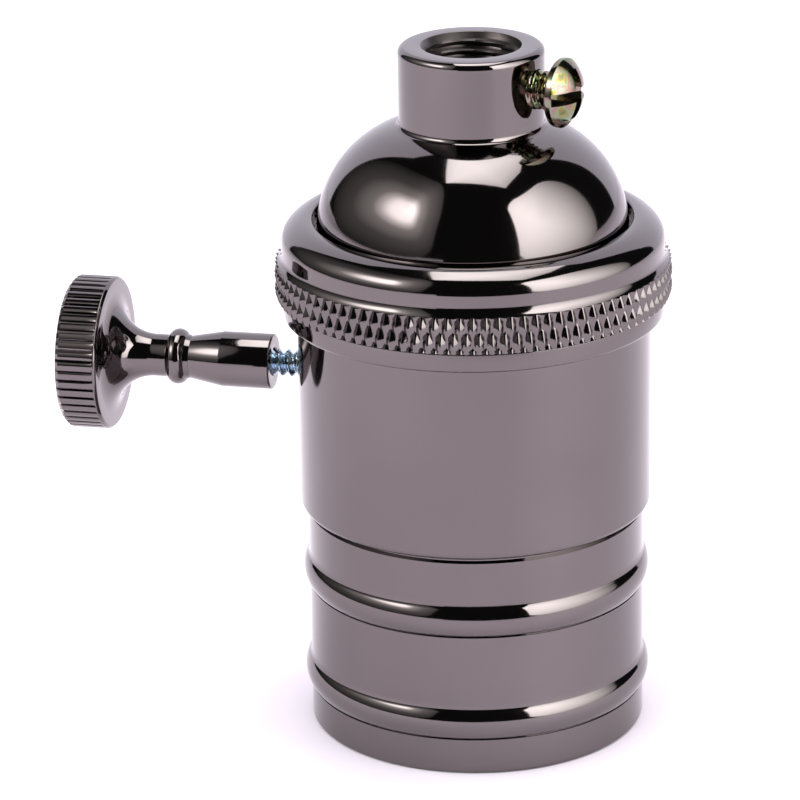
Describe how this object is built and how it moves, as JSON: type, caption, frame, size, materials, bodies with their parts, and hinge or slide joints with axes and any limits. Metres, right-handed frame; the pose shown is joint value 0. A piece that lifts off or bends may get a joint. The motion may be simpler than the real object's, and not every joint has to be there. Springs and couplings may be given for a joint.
{
  "type": "lamp holder",
  "caption": "Metal screw lamp holder with a domed cap and tapped neck, a knurled locking ring, a beaded shell and a fluted turn knob on a side shaft.",
  "frame": {"origin": "on the holder's axis, at the rim of the outer shell where the lamp goes in", "axes": "+Z along the axis, from the lamp's mouth to the tapped neck; the knob's shaft points along -X; +Y completes a right-handed frame"},
  "size_m": [0.0626, 0.0404, 0.0717],
  "materials": {
    "black_nickel": "polished black nickel plate",
    "yellow_zinc": "yellow passivated zinc",
    "bright_zinc": "bright zinc, rolled thread",
    "porcelain": "white glazed porcelain",
    "brass": "bare brass sheet and turned brass",
    "nickel_brass": "nickel plated brass sheet",
    "spring_steel": "blank spring steel",
    "moulded_rotor": "dark brown moulded resin"
  },
  "bodies": {
    "holder": {"outer_shell": "black_nickel", "ceramic_base": "porcelain", "switch_housing": "porcelain", "screw_shell": "nickel_brass", "shell_rivets": "brass", "contact_tongue": "nickel_brass", "contact_rivet": "brass", "line_blade": "nickel_brass", "load_blade": "nickel_brass", "neutral_strap": "nickel_brass", "detent_spring": "spring_steel", "shaft_bush": "brass", "terminal_screws": "bright_zinc", "terminal_clamps": "nickel_brass", "housing_screws": "bright_zinc"},
    "cap": {"dome_cap": "black_nickel"},
    "ring": {"locking_ring": "black_nickel"},
    "neck_screw": {"clamp_screw": "yellow_zinc"},
    "turn_knob": {"knob": "black_nickel", "switch_shaft": "bright_zinc", "switch_rotor": "moulded_rotor", "rotor_bridge": "brass"},
    "centre_contact": {"contact_button": "brass"}
  },
  "joints": [
    {"name": "cap_lift", "type": "slide", "parent": "holder", "child": "cap", "axis": [0, 0, 1], "range_m": [0, 0.004]},
    {"name": "ring_turn", "type": "hinge", "parent": "cap", "child": "ring", "pos_m": [0, 0, 0.0486], "axis": [0, 0, 1], "range_deg": [0, 1440]},
    {"name": "clamp_screw_travel", "type": "slide", "parent": "cap", "child": "neck_screw", "axis": [0.9588, -0.284, 0], "range_m": [-0.0023, 0.002]},
    {"name": "knob_turn", "type": "hinge", "parent": "holder", "child": "turn_knob", "pos_m": [-0.03, 0, 0.037], "axis": [-1, 0, 0], "continuous": true, "deforming": ["detent_spring"]},
    {"name": "contact_press", "type": "slide", "parent": "holder", "child": "centre_contact", "axis": [0, 0, 1], "range_m": [0, 0.0011], "stiffness_N_per_m": 1500, "deforming": ["contact_tongue"]}
  ],
  "couplings": [
    {"joint": "cap_lift", "follows": "ring_turn", "m_per_rad": 0.00015915}
  ]
}
